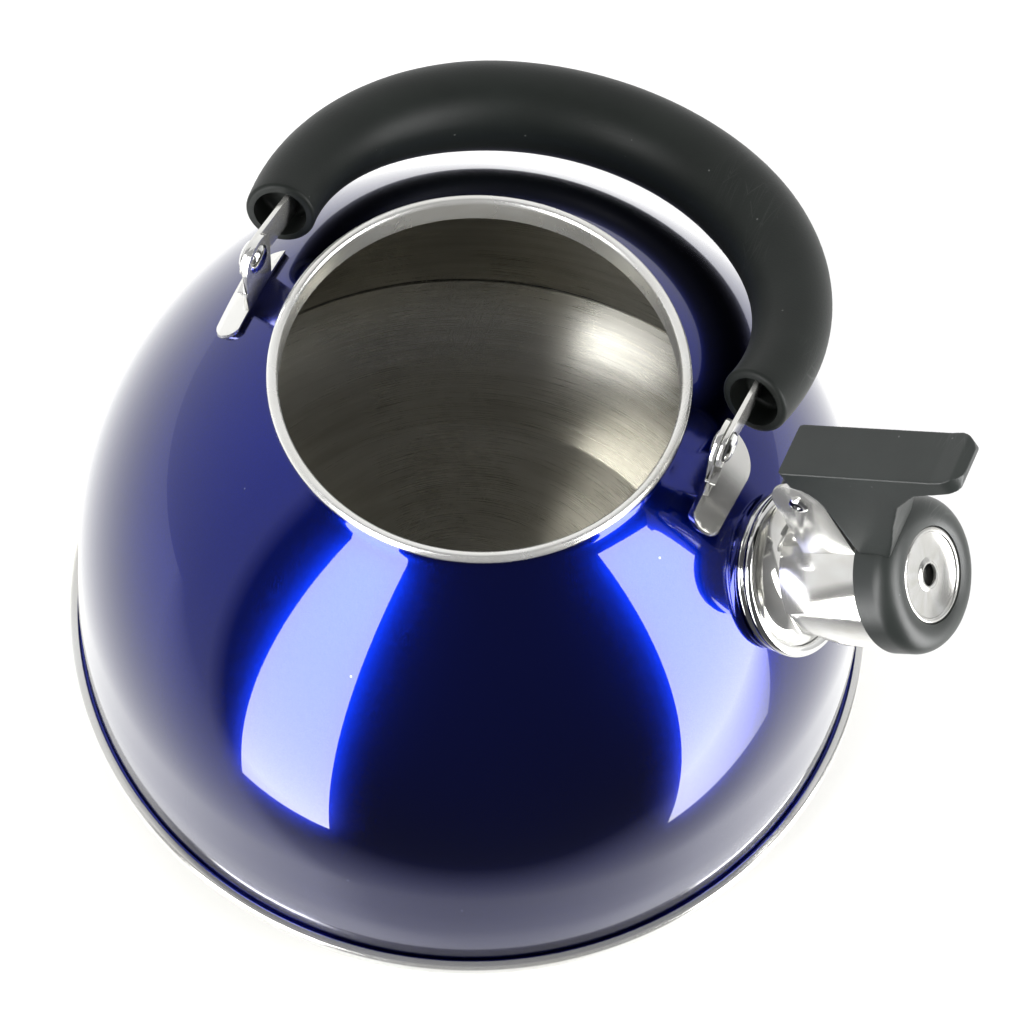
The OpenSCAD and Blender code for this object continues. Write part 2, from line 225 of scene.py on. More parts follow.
def draw_line(name, points, closed=True, depth=0.0):
    """A chain of edges in the XZ plane, extruded point by point from a single vertex."""
    piece = fresh(bpy.ops.mesh.primitive_plane_add, name, size=MM)
    bpy.ops.object.mode_set(mode="EDIT")
    bpy.ops.mesh.select_all(action="SELECT")
    bpy.ops.mesh.merge(type="CENTER")
    bpy.ops.transform.translate(value=(points[0][0], depth, points[0][1]))
    route = list(points[1:]) + ([points[0]] if closed else [])
    here = points[0]
    for there in route:
        bpy.ops.mesh.extrude_region_move(
            TRANSFORM_OT_translate={"value": (there[0] - here[0], 0, there[1] - here[1])})
        here = there
    bpy.ops.mesh.select_all(action="SELECT")
    return piece


def close_up(piece):
    """Merges what meets and turns every face outwards."""
    bpy.ops.mesh.select_all(action="SELECT")
    bpy.ops.mesh.remove_doubles(threshold=WELD)
    bpy.ops.mesh.normals_make_consistent(inside=False)
    bpy.ops.object.mode_set(mode="OBJECT")
    return piece


def turn(name, outline, segments, closed=True):
    """A piece turned about the Z axis from its closed (radius, height) outline."""
    piece = draw_line(name, outline, closed)
    bpy.ops.mesh.spin(steps=segments, angle=TURN, center=(0, 0, 0), axis=(0, 0, 1))
    return close_up(piece)


def plate(name, outline, near, far):
    """A flat piece: an outline in the XZ plane, with its thickness along Y."""
    piece = draw_line(name, outline, True, near)
    bpy.ops.mesh.remove_doubles(threshold=WELD)
    bpy.ops.mesh.edge_face_add()
    bpy.ops.mesh.extrude_region_move(TRANSFORM_OT_translate={"value": (0, far - near, 0)})
    return close_up(piece)


def put(piece, matrix):
    """Moves a piece to its place and leaves its object at the origin."""
    make_active(piece)
    piece.matrix_world = matrix
    bpy.ops.object.transform_apply(location=True, rotation=True, scale=True)
    return piece


def pair(piece, name, first, second):
    """A piece and its copy, each put in its own place, joined into one."""
    other = piece.copy()
    other.data = piece.data.copy()
    bpy.context.collection.objects.link(other)
    put(piece, first)
    put(other, second)
    make_active(piece)
    other.select_set(True)
    bpy.ops.object.join()
    piece.name = piece.data.name = name
    return piece


def modifier(piece, kind, **settings):
    """Adds a modifier with its settings and applies it."""
    make_active(piece)
    added = piece.modifiers.new(kind.title(), kind)
    for key, value in settings.items():
        setattr(added, key, value)
    bpy.ops.object.modifier_apply(modifier=added.name)
    return piece


def soften(piece, width, segments=3, angle=35):
    """Rounds the sharp edges."""
    return modifier(piece, "BEVEL", width=width, segments=segments, limit_method="ANGLE",
                    angle_limit=radians(angle), use_clamp_overlap=True, harden_normals=False)


def carve(piece, cutter, operation="DIFFERENCE"):
    """Cuts a piece with another, which is used up."""
    modifier(piece, "BOOLEAN", object=cutter, operation=operation, solver="EXACT")
    bpy.data.objects.remove(cutter, do_unlink=True)
    return piece


def finish_piece(piece, body, material, replaced=(), smooth=35):
    """Shades a piece, gives it its finish and its body, and hides the CAD nodes it stands for."""
    make_active(piece)
    bpy.ops.object.shade_smooth_by_angle(angle=radians(smooth))
    piece.data.materials.clear()
    piece.data.materials.append(material)
    if replaced:
        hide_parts(*replaced)
    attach(piece, body)
    return piece


def copy_of(node, name):
    """A free copy of a CAD node's mesh, merged and with its flat faces made whole."""
    source = frame["nodes"][node]
    piece = bpy.data.objects.new(name, source.data.copy())
    piece.data.name = name
    bpy.context.collection.objects.link(piece)
    make_active(piece)
    bpy.ops.object.mode_set(mode="EDIT")
    bpy.ops.mesh.select_all(action="SELECT")
    bpy.ops.mesh.remove_doubles(threshold=0.002 * MM)
    bpy.ops.mesh.dissolve_limited(angle_limit=radians(0.6))
    bpy.ops.object.mode_set(mode="OBJECT")
    return piece


def refinish(node, material):
    """A CAD node that keeps its mesh and gets its finish."""
    piece = frame["nodes"][node]
    piece.data.materials.clear()
    piece.data.materials.append(material)


def spout_frame():
    """X along the spout from the ring's front, Z square to it."""
    part = sizes()
    return (Matrix.Translation((part.spout_reach, 0, part.spout_height))
            @ Matrix.Rotation(-part.spout_tilt, 4, "Y"))


def spout_turn_frame():
    """Z along the spout, for turned pieces."""
    return spout_frame() @ Matrix.Rotation(math.pi / 2, 4, "Y")


def handle_frame():
    """Z from the hinge to the top of the folded arch."""
    hinge = Vector(JOINTS["handle_fold"]["pos_m"])
    return Matrix.Translation(hinge) @ Matrix.Rotation(-sizes().fold_angle, 4, "X")


# ---- shader helpers


def new_group(name, inputs, outputs):
    """A node group that takes a Vector and some floats and gives floats, with its tree and both ends."""
    group = bpy.data.node_groups.new(name, "ShaderNodeTree")
    group.interface.new_socket(name="Vector", in_out="INPUT", socket_type="NodeSocketVector")
    for label, default in inputs.items():
        socket = group.interface.new_socket(name=label, in_out="INPUT", socket_type="NodeSocketFloat")
        socket.default_value = default
    for label in outputs:
        group.interface.new_socket(name=label, in_out="OUTPUT", socket_type="NodeSocketFloat")
    taken = group.nodes.new("NodeGroupInput").outputs
    given = group.nodes.new("NodeGroupOutput").inputs
    return group, Tree(group), taken, given


class Tree:
    """Short words for adding and joining the nodes of one tree."""

    def __init__(self, tree):
        self.tree = tree

    def add(self, kind, values=None, **settings):
        node = self.tree.nodes.new("ShaderNode" + kind)
        for key, value in settings.items():
            setattr(node, key, value)
        for key, value in (values or {}).items():
            if isinstance(value, bpy.types.NodeSocket):
                self.tree.links.new(value, node.inputs[key])
            else:
                node.inputs[key].default_value = value
        return node

    def math(self, operation, *values, clamp=False):
        node = self.add("Math", dict(enumerate(values)), operation=operation, use_clamp=clamp)
        return node.outputs[0]

    def times(self, first, second):
        return self.math("MULTIPLY", first, second)

    def plus(self, first, second, clamp=False):
        return self.math("ADD", first, second, clamp=clamp)

    def noise(self, place, scale, detail, **more):
        """The value of a noise texture."""
        return self.add("TexNoise", {"Vector": place, "Scale": scale, "Detail": detail, **more}).outputs["Fac"]

    def bump(self, shader, height, strength, distance):
        """Gives a shader a bump."""
        node = self.add("Bump", {"Height": height, "Strength": strength, "Distance": distance})
        self.join(node.outputs[0], shader.inputs["Normal"])

    def span(self, value, low, high, out_low=0.0, out_high=1.0):
        """A value brought from one range to another, and held inside it."""
        node = self.add("MapRange", {"Value": value, "From Min": low, "From Max": high,
                                     "To Min": out_low, "To Max": out_high}, clamp=True)
        return node.outputs["Result"]

    def mix(self, factor, first, second):
        node = self.add("Mix", data_type="RGBA")
        for socket, value in zip((node.inputs[0], node.inputs[6], node.inputs[7]), (factor, first, second)):
            if isinstance(value, bpy.types.NodeSocket):
                self.tree.links.new(value, socket)
            else:
                socket.default_value = value if isinstance(value, float) else (*value, 1.0)
        return node.outputs[2]

    def join(self, output, socket):
        self.tree.links.new(output, socket)


def turned_grain_group():
    """Brush marks that run round an axis, as on spun or turned sheet."""
    group, tree, taken, given = new_group(
        "Turned grain", {"Density": 2600.0, "Broken": 5.0}, ("Grain", "Bands"))
    parts = tree.add("SeparateXYZ", {0: taken["Vector"]}).outputs
    radius = tree.math("SQRT", tree.plus(tree.math("POWER", parts[0], 2.0), tree.math("POWER", parts[1], 2.0)))
    safe = tree.math("MAXIMUM", radius, 0.0005)
    east, north = [tree.times(tree.math("DIVIDE", parts[axis], safe), taken["Broken"]) for axis in (0, 1)]
    across = tree.times(tree.plus(radius, tree.times(parts[2], 1.3)), taken["Density"])
    place = tree.add("CombineXYZ", {0: across, 1: east, 2: north}).outputs[0]
    fine = tree.noise(place, 1.0, 5.0, Roughness=0.65)
    slow_place = tree.add("CombineXYZ", {0: tree.times(across, 0.06), 1: east, 2: north}).outputs[0]
    slow = tree.noise(slow_place, 1.0, 2.0)
    tree.join(tree.span(fine, 0.3, 0.7), given["Grain"])
    tree.join(tree.span(slow, 0.3, 0.7), given["Bands"])
    return group


def scratch_group():
    """A sparse web of hairline scratches and some soft smudges."""
    group, tree, taken, given = new_group(
        "Handling marks", {"Scale": 60.0, "Amount": 0.3}, ("Scratches", "Smudges"))
    place, scale = taken["Vector"], taken["Scale"]
    layers = []
    for turn_by, stretch in ((0.5, 9.0), (2.1, 13.0), (3.9, 11.0)):
        turned = tree.add("Mapping", {"Vector": place, "Rotation": (turn_by, turn_by * 1.7, turn_by * 0.6),
                                      "Scale": (stretch, 1.0, 1.0)}).outputs[0]
        cells = tree.add("TexVoronoi", {"Vector": turned, "Scale": scale}, feature="DISTANCE_TO_EDGE")
        layers.append(tree.span(cells.outputs["Distance"], 0.0, 0.012, 1.0, 0.0))
    web = tree.math("MAXIMUM", tree.math("MAXIMUM", layers[0], layers[1]), layers[2])
    shown = tree.span(tree.noise(place, tree.times(scale, 0.7), 3.0), 0.52, 0.66)
    tree.join(tree.times(tree.times(web, shown), taken["Amount"]), given["Scratches"])
    smears = tree.noise(place, tree.times(scale, 0.45), 4.0, Roughness=0.6, Distortion=0.8)
    tree.join(tree.span(smears, 0.35, 0.75), given["Smudges"])
    return group


def flake_group():
    """Metal flakes under a clear lacquer: each cell tips its own way and has its own brightness."""
    group, tree, taken, given = new_group("Lacquer flakes", {"Scale": 5200.0}, ("Brightness", "Height"))
    cells = tree.add("TexVoronoi", {"Vector": taken["Vector"], "Scale": taken["Scale"]})
    parts = tree.add("SeparateColor", {0: cells.outputs["Color"]}).outputs
    cloud = tree.noise(taken["Vector"], 38.0, 4.0)
    tree.join(tree.plus(tree.times(parts[0], 0.6), tree.times(cloud, 0.4), clamp=True), given["Brightness"])
    tree.join(parts[1], given["Height"])
    return group


def moulded_group():
    """The fine blasted grain of moulded plastic, with some rubbed patches."""
    group, tree, taken, given = new_group("Moulded grain", {"Scale": 2400.0}, ("Height", "Tone", "Rubbed"))
    place, scale = taken["Vector"], taken["Scale"]
    grain = tree.noise(place, scale, 3.0, Roughness=0.55)
    pits = tree.add("TexVoronoi", {"Vector": place, "Scale": tree.times(scale, 0.7)}).outputs["Distance"]
    tree.join(tree.plus(tree.times(grain, 0.6), tree.times(pits, 0.4)), given["Height"])
    tree.join(tree.span(tree.noise(place, 55.0, 5.0, Roughness=0.6), 0.3, 0.7), given["Tone"])
    tree.join(tree.span(tree.noise(place, 26.0, 3.0), 0.48, 0.72), given["Rubbed"])
    return group


def dust_group():
    """Sparse specks of dust."""
    group, tree, taken, given = new_group("Dust specks", {"Scale": 180.0, "Size": 0.05}, ("Specks",))
    cells = tree.add("TexVoronoi", {"Vector": taken["Vector"], "Scale": taken["Scale"]}).outputs
    chosen = tree.math("GREATER_THAN", tree.add("SeparateColor", {0: cells["Color"]}).outputs[2], 0.86)
    edge = tree.times(taken["Size"], 1.6)
    dot = tree.span(cells["Distance"], taken["Size"], edge, 1.0, 0.0)
    tree.join(tree.times(dot, chosen), given["Specks"])
    return group


GROUP_MAKERS = {
    "Turned grain": turned_grain_group,
    "Handling marks": scratch_group,
    "Lacquer flakes": flake_group,
    "Moulded grain": moulded_group,
    "Dust specks": dust_group,
}


def place_group(tree, name, **values):
    """Puts a shared group into a material's tree, made on first use."""
    group = bpy.data.node_groups.get(name) or GROUP_MAKERS[name]()
    node = tree.tree.nodes.new("ShaderNodeGroup")
    node.node_tree = group
    for key, value in values.items():
        if isinstance(value, bpy.types.NodeSocket):
            tree.join(value, node.inputs[key])
        else:
            node.inputs[key].default_value = value
    return node.outputs


def new_finish(name, **constants):
    """A material with its Principled shader's constant values set, and its tree."""
    material = bpy.data.materials.new(name)
    material.use_nodes = True
    shader = material.node_tree.nodes["Principled BSDF"]
    for key, value in constants.items():
        shader.inputs[key.replace("_", " ")].default_value = value
    return material, Tree(material.node_tree), shader


def axis_place(tree, along_spout=False):
    """Object coordinates, or the same measured from the spout with Z along it."""
    place = tree.add("TexCoord").outputs["Object"]
    if not along_spout:
        return place
    matrix = spout_turn_frame().inverted()
    angles = matrix.to_euler()
    return tree.add("Mapping", {"Vector": place, "Location": matrix.to_translation(),
                                "Rotation": tuple(angles)}).outputs[0]


def made_once(usual_name):
    """Makes a finish when it is first asked for, and finds it by its name after that."""
    def wrap(maker):
        def find_or_make(name=usual_name, *settings, **named):
            return bpy.data.materials.get(name) or maker(name, *settings, **named)
        return find_or_make
    return wrap


@made_once("Blue enamel")
def blue_enamel(name):
    """Blue metallic lacquer, deeper where it is seen at a slant."""
    tones = colours()
    material, tree, shader = new_finish(
        name, Metallic=1.0, IOR=1.5, Coat_Weight=1.0, Coat_Roughness=0.015, Coat_IOR=1.5)
    place = axis_place(tree)
    flakes = place_group(tree, "Lacquer flakes", Vector=place, Scale=5200.0)
    dust = place_group(tree, "Dust specks", Vector=place, Scale=150.0, Size=0.03)["Specks"]
    slant = tree.add("LayerWeight", {"Blend": 0.5}).outputs["Facing"]
    facing = tree.math("SUBTRACT", tree.span(slant, 0.0, 0.75, 1.0, 0.0),
                       tree.times(flakes["Brightness"], 0.35), clamp=True)
    lacquer = tree.mix(facing, tones.enamel_deep, tones.enamel_bright)
    tree.join(tree.mix(tree.times(dust, 0.35), lacquer, (0.5, 0.55, 0.8)), shader.inputs["Base Color"])
    tree.join(tree.span(flakes["Brightness"], 0.0, 1.0, 0.15, 0.2), shader.inputs["Roughness"])
    tree.bump(shader, flakes["Height"], 0.12, 0.00003)
    return material


@made_once("Brushed steel")
def brushed_steel(name):
    """Steel turned about the kettle's axis, whose highlights stretch across its grooves."""
    tones = colours()
    material, tree, shader = new_finish(name, Metallic=0.92, Anisotropic=0.9, Anisotropic_Rotation=0.25)
    place = axis_place(tree)
    grain = place_group(tree, "Turned grain", Vector=place, Density=4200.0, Broken=2.2)
    marks = place_group(tree, "Handling marks", Vector=place, Scale=45.0, Amount=0.25)
    tone = tree.plus(tree.times(grain["Grain"], 0.35), tree.times(grain["Bands"], 0.65))
    tree.join(tree.mix(tone, tones.steel_dark, tones.steel), shader.inputs["Base Color"])
    ground = tree.span(grain["Grain"], 0.0, 1.0, 0.23, 0.29)
    worn = tree.plus(ground, tree.times(marks["Smudges"], 0.06))
    tree.join(tree.plus(worn, tree.times(marks["Scratches"], 0.2)), shader.inputs["Roughness"])
    tree.join(tree.add("Tangent", direction_type="RADIAL", axis="Z").outputs[0], shader.inputs["Tangent"])
    tree.bump(shader, grain["Grain"], 0.02, 0.00002)
    return material


@made_once("Polished steel")
def polished_steel(name, along_spout=False, rough=(0.14, 0.24), shade=1.0):
    """Polished steel. rough is the range of its roughness, and shade darkens both its tones."""
    tones = colours()
    material, tree, shader = new_finish(name, Metallic=0.8)
    place = axis_place(tree, along_spout)
    grain = place_group(tree, "Turned grain", Vector=place, Density=1500.0, Broken=3.0)
    marks = place_group(tree, "Handling marks", Vector=place, Scale=80.0, Amount=0.2)
    dull, bright = (tuple(value * shade for value in tone) for tone in (tones.steel, tones.chrome))
    tree.join(tree.mix(tree.span(grain["Bands"], 0.0, 1.0, 0.35, 1.0), dull, bright), shader.inputs["Base Color"])
    ground = tree.span(marks["Smudges"], 0.0, 1.0, rough[0], rough[1])
    tree.join(tree.plus(ground, tree.times(marks["Scratches"], 0.14)), shader.inputs["Roughness"])
    tree.bump(shader, tree.plus(grain["Grain"], marks["Scratches"]), 0.05, 0.00002)
    return material


@made_once("Chrome")
def chrome(name):
    """Chrome with a slight waviness and fine wear."""
    tones = colours()
    material, tree, shader = new_finish(name, Metallic=1.0)
    place = axis_place(tree)
    marks = place_group(tree, "Handling marks", Vector=place, Scale=110.0, Amount=0.4)
    tree.join(tree.mix(marks["Smudges"], tones.chrome, tuple(value * 0.94 for value in tones.chrome)),
              shader.inputs["Base Color"])
    ground = tree.span(marks["Smudges"], 0.0, 1.0, 0.07, 0.13)
    tree.join(tree.plus(ground, tree.times(marks["Scratches"], 0.18)), shader.inputs["Roughness"])
    tree.bump(shader, tree.noise(place, 140.0, 2.0), 0.05, 0.0002)
    return material


@made_once("Moulded plastic")
def moulded_plastic(name, colour, rough, grain_scale, grain_depth, sheen=0.0, gloss=1.48):
    """Plastic with a blasted grain. rough is the range of its roughness, and gloss is its refractive index."""
    material, tree, shader = new_finish(name, IOR=gloss, Sheen_Weight=sheen, Sheen_Roughness=0.5)
    place = axis_place(tree)
    grain = place_group(tree, "Moulded grain", Vector=place, Scale=grain_scale)
    marks = place_group(tree, "Handling marks", Vector=place, Scale=38.0, Amount=0.45)
    dust = place_group(tree, "Dust specks", Vector=place, Scale=260.0, Size=0.05)["Specks"]
    dark, light = (tuple(value * factor for value in colour) for factor in (0.88, 1.28))
    ground = tree.mix(grain["Tone"], dark, light)
    worn = tree.times(marks["Scratches"], 0.3)
    pale = tree.plus(worn, tree.times(dust, 0.25), clamp=True)
    tree.join(tree.mix(pale, ground, (0.3, 0.31, 0.3)), shader.inputs["Base Color"])
    satin = tree.plus(tree.span(grain["Height"], 0.0, 1.0, rough[0], rough[1]),
                      tree.times(grain["Rubbed"], -0.06))
    tree.join(satin, shader.inputs["Roughness"])
    tree.bump(shader, grain["Height"], grain_depth, 0.00008)
    return material


def grip_plastic():
    return moulded_plastic("Soft-touch grip", tuple(colours().grip), (0.42, 0.56), 2300.0, 0.35, 0.03, 1.3)


def lever_plastic():
    return moulded_plastic("Satin lever", tuple(colours().lever), (0.36, 0.5), 2900.0, 0.22)


def seal_rubber():
    return moulded_plastic("Seal rubber", tuple(colours().rubber), (0.7, 0.85), 1800.0, 0.3)


# ---- the dome


def dome_outline():
    """The dome's outside, from the foot up the wall and over the ball to the mouth's lip."""
    part = sizes()
    centre = Vector((0, part.ball_height))
    flange = Vector((DOME_HIGH.x, SEAM_Z + 0.35 * MM))
    foot = Vector((FOOT_RADIUS, SEAM_Z + 0.6 * MM))
    waist = Vector((part.waist_radius, SEAM_Z + part.waist_height))
    reach = (waist - centre).length
    wall_angle = math.acos(part.ball_radius / reach) - math.asin((centre.y - waist.y) / reach)
    crown_end = centre + ray(part.mouth_angle) * part.ball_radius
    fillet_centre = crown_end + ray(part.mouth_angle) * part.lip_fillet
    lower = [flange, foot, foot.lerp(waist, 0.5), waist.lerp(foot, 0.12)]
    upper = arc(centre, part.ball_radius, wall_angle, part.mouth_angle, 72)
    lower += [waist.lerp(upper[0], share) for share in (0.15, 0.5, 0.85)]
    fillet = arc(fillet_centre, part.lip_fillet, math.pi + part.mouth_angle, math.pi, 10)[1:]
    return lower + upper + fillet


def spout_hole_cutter():
    """A round bar on the spout's axis, as wide as the neck's bore."""
    bar = fresh(bpy.ops.mesh.primitive_cylinder_add, "spout_bore", vertices=96, radius=16.7 * MM, depth=40 * MM)
    return put(bar, spout_turn_frame())


class KETTLE_OT_dome(Operator):
    """Blue outer skin of the dome and its brushed steel inside"""

    bl_idname = "kettle.dome"
    bl_label = "Dome"

    def execute(self, context):
        line = dome_outline()
        count = sizes().shell_segments
        inner = walled(line, PAINT + SKIN)[len(line):][::-1]
        taper_foot = Vector((104.9 * MM, SEAM_Z + 0.3 * MM))
        taper_top = Vector((FOOT_RADIUS - 0.53 * MM, SEAM_Z + 7 * MM))
        inner[:2] = [taper_foot, taper_top]
        outside = turn("dome_enamel", walled(line, PAINT), count)
        carve(outside, spout_hole_cutter())
        finish_piece(outside, "kettle", blue_enamel(), ("dome",))
        inside = turn("dome_lining", walled(inner, SHEET - PAINT - SKIN), count)
        carve(inside, spout_hole_cutter())
        finish_piece(inside, "kettle", brushed_steel())
        refinish("spout_neck", blue_enamel())
        return {"FINISHED"}


class KETTLE_OT_mouth(Operator):
    """Rolled steel bead round the mouth, with its skirt inside the neck"""

    bl_idname = "kettle.mouth"
    bl_label = "Mouth ring"

    def execute(self, context):
        bead = 1.4 * MM
        wall = 0.6 * MM
        centre = Vector((RING_HIGH.x - bead, RING_HIGH.z - bead))
        inner = centre.x - bead
        start = -math.acos((inner + wall - centre.x) / bead)
        outline = [Vector((inner + wall, RING_LOW.z))]
        outline += arc(centre, bead, start, math.pi, 26)
        outline += [Vector((inner, RING_LOW.z + 0.15 * MM)), Vector((inner + 0.15 * MM, RING_LOW.z))]
        ring = turn("mouth_bead", outline, sizes().shell_segments)
        steel = polished_steel("Mouth steel", False, (0.22, 0.32))
        finish_piece(ring, "kettle", steel, ("mouth_ring",))
        return {"FINISHED"}


class KETTLE_OT_pan(Operator):
    """Bowl-shaped steel bottom with a pressed step round its flat floor"""

    bl_idname = "kettle.pan"
    bl_label = "Bottom pan"

    def execute(self, context):
        part = sizes()
        edge = 104.4 * MM
        run = edge - part.floor_radius
        rise = SEAM_Z - SHEET - FLOOR_Z
        bowl = (run * run + rise * rise) / (2 * rise)
        step = 0.35 * MM
        rim = part.floor_radius
        flat = (0.3 * MM, 20 * MM, 45 * MM, rim - 1.6 * MM)
        inside = [Vector((radius, FLOOR_Z)) for radius in flat]
        inside += [Vector((radius, FLOOR_Z + step)) for radius in (rim - 0.9 * MM, rim - 0.3 * MM)]
        inside += arc((part.floor_radius, FLOOR_Z + bowl), bowl - step,
                      -math.pi / 2 + 0.03, -math.pi / 2 + math.asin(run / bowl), 40)
        inside += [Vector((PAN_HIGH.x - 0.1 * MM, SEAM_Z - SHEET + step))]
        outline = walled(inside, -(SHEET - step) - SEAM_GAP)
        outline.insert(0, Vector((0, FLOOR_Z)))
        outline.append(Vector((0, outline[-1].y)))
        pan = turn("pan", outline, part.shell_segments, closed=False)
        finish_piece(pan, "kettle", brushed_steel(), ("bottom_pan",))
        return {"FINISHED"}


class KETTLE_OT_seam(Operator):
    """Rolled seam that clamps the dome to the pan"""

    bl_idname = "kettle.seam"
    bl_label = "Seam hoop"

    def execute(self, context):
        outer = SEAM_HIGH.x
        low, high = SEAM_LOW.z, SEAM_HIGH.z
        inner = FOOT_RADIUS + 0.6 * MM
        slot_low, slot_high = SEAM_Z - SHEET - SEAM_GAP, SEAM_Z + 0.65 * MM
        outline = rounded([
            (inner, low, 0.3 * MM), (outer, low, 0.95 * MM), (outer, high, 0.95 * MM), (inner, high, 0.25 * MM),
            (inner, slot_high), (outer - 1.1 * MM, slot_high), (outer - 1.1 * MM, slot_low), (inner, slot_low)], 8)
        hoop = turn("seam_roll", outline, sizes().shell_segments)
        finish_piece(hoop, "kettle", polished_steel(), ("seam_hoop",))
        return {"FINISHED"}


class KETTLE_OT_base(Operator):
    """Steel cup under the heat-spreading disc, with pressed rings underneath"""

    bl_idname = "kettle.base"
    bl_label = "Base"

    def execute(self, context):
        outer, top, wall = CUP_HIGH.x, CUP_HIGH.z, 0.8 * MM
        depth = 0.3 * MM
        corners = [(outer - 1 * MM, top), (outer - 1 * MM, wall), (0.2 * MM, wall), (0.2 * MM, depth)]
        for radius in (14 * MM, 34 * MM, 54 * MM):
            start = depth if radius < 20 * MM else 0.0
            corners += [(radius + across * MM, height, 0.2 * MM) for across, height in (
                (-1.2, start), (-0.5, depth), (0.5, depth), (1.2, 0.0))]
        corners += [(outer, 0.0, 0.9 * MM), (outer, top, 0.15 * MM)]
        line = rounded(corners, 4)
        cup = turn("base_cup_skin", line, sizes().shell_segments)
        finish_piece(cup, "kettle", brushed_steel(), ("base_cup",))
        refinish("heat_disc", brushed_steel())
        return {"FINISHED"}


# ---- the spout


def turn_on_spout(name, outline):
    """A piece turned about the spout's axis, from (radius, distance along the spout) points."""
    return put(turn(name, outline, sizes().small_segments), spout_turn_frame())


class KETTLE_OT_spout(Operator):
    """Chrome ring, trumpet-rooted nozzle and cut-back sleeve"""

    bl_idname = "kettle.spout"
    bl_label = "Spout"

    def execute(self, context):
        part = sizes()
        spout_steel = polished_steel("Spout steel", True, (0.07, 0.13))

        front = arc((20.3 * MM, -0.6 * MM), 1.4 * MM, radians(-62), radians(205), 22)
        rear = arc((20.0 * MM, -3.6 * MM), 0.75 * MM, radians(-170), radians(60), 12)
        web = vectors([(19.4, -2.0), (17.6, -2.0), (17.6, -2.9), (19.3, -2.9)])
        ring = turn_on_spout("spout_rim", rear + front + web)
        finish_piece(ring, "kettle", chrome(), ("spout_ring",))

        bell = 5.4 * MM
        wall = 0.8 * MM
        bore = 12.7 * MM
        flare = (bore + wall + bell, 4.5 * MM)
        trumpet = arc(flare, bell + wall, radians(268), radians(180), 20)
        trumpet += in_mm([(12.7, 14), (12.7, 24), (12.7, 33.7)])
        outside = arc(flare, bell, radians(268), radians(180), 20)
        outside += in_mm([(13.5, 14), (13.5, 24), (13.5, 33.7)])
        lip = arc((13.1 * MM, 33.6 * MM), 0.4 * MM, math.pi, 0, 8)
        tube = turn_on_spout("nozzle_tube", trumpet[:-1] + lip + outside[::-1][1:])
        finish_piece(tube, "kettle", spout_steel, ("nozzle",))

        radius = part.sleeve_radius
        outline = rounded([
            (radius, 7 * MM, 0.25 * MM), (radius, 32 * MM, 0.5 * MM), (13.6 * MM, 32 * MM, 0.1 * MM),
            (13.6 * MM, 31.2 * MM, 0.1 * MM), (radius - wall, 31.2 * MM), (radius - wall, 7 * MM, 0.25 * MM)], 6)
        sleeve = turn_on_spout("sleeve_tube", outline)
        slant = in_mm([(5, 8), (7.5, 5.7), (23.5, -18.7), (23.5, -21), (5, -21)])
        wedge = plate("wedge", slant, -30 * MM, 30 * MM)
        put(wedge, spout_frame())
        carve(sleeve, wedge)
        finish_piece(sleeve, "kettle", spout_steel, ("nozzle_sleeve",))
        return {"FINISHED"}


class KETTLE_OT_bracket(Operator):
    """Sheet bracket that carries the lever's pin, with the pin and the spring"""

    bl_idname = "kettle.bracket"
    bl_label = "Lever bracket"

    def execute(self, context):
        saddle = copy_of("lever_bracket", "bracket_sheet")
        soften(saddle, 0.2 * MM, 2, 40)
        steel = polished_steel("Bracket steel", True, (0.2, 0.28), 0.85)
        finish_piece(saddle, "kettle", steel, ("lever_bracket",))

        outline = vectors([(0, 0), (1.6, 0), (1.6, 6.7), (2.5, 6.72), (2.45, 7.05), (2.1, 7.4),
                           (1.5, 7.55), (0.9, 7.5), (0.7, 7.25), (0, 7.2)])
        half = turn("pin_half", outline, 96, closed=False)
        pin = pair(half, "pivot_pin", Matrix(), Matrix.Rotation(math.pi, 4, "X"))
        pivot = Vector(JOINTS["lever_lift"]["pos_m"])
        put(pin, Matrix.Translation(pivot) @ Matrix.Rotation(math.pi / 2, 4, "X"))
        finish_piece(pin, "kettle", chrome(), ("lever_pin",))
        refinish("lever_spring", polished_steel())
        return {"FINISHED"}


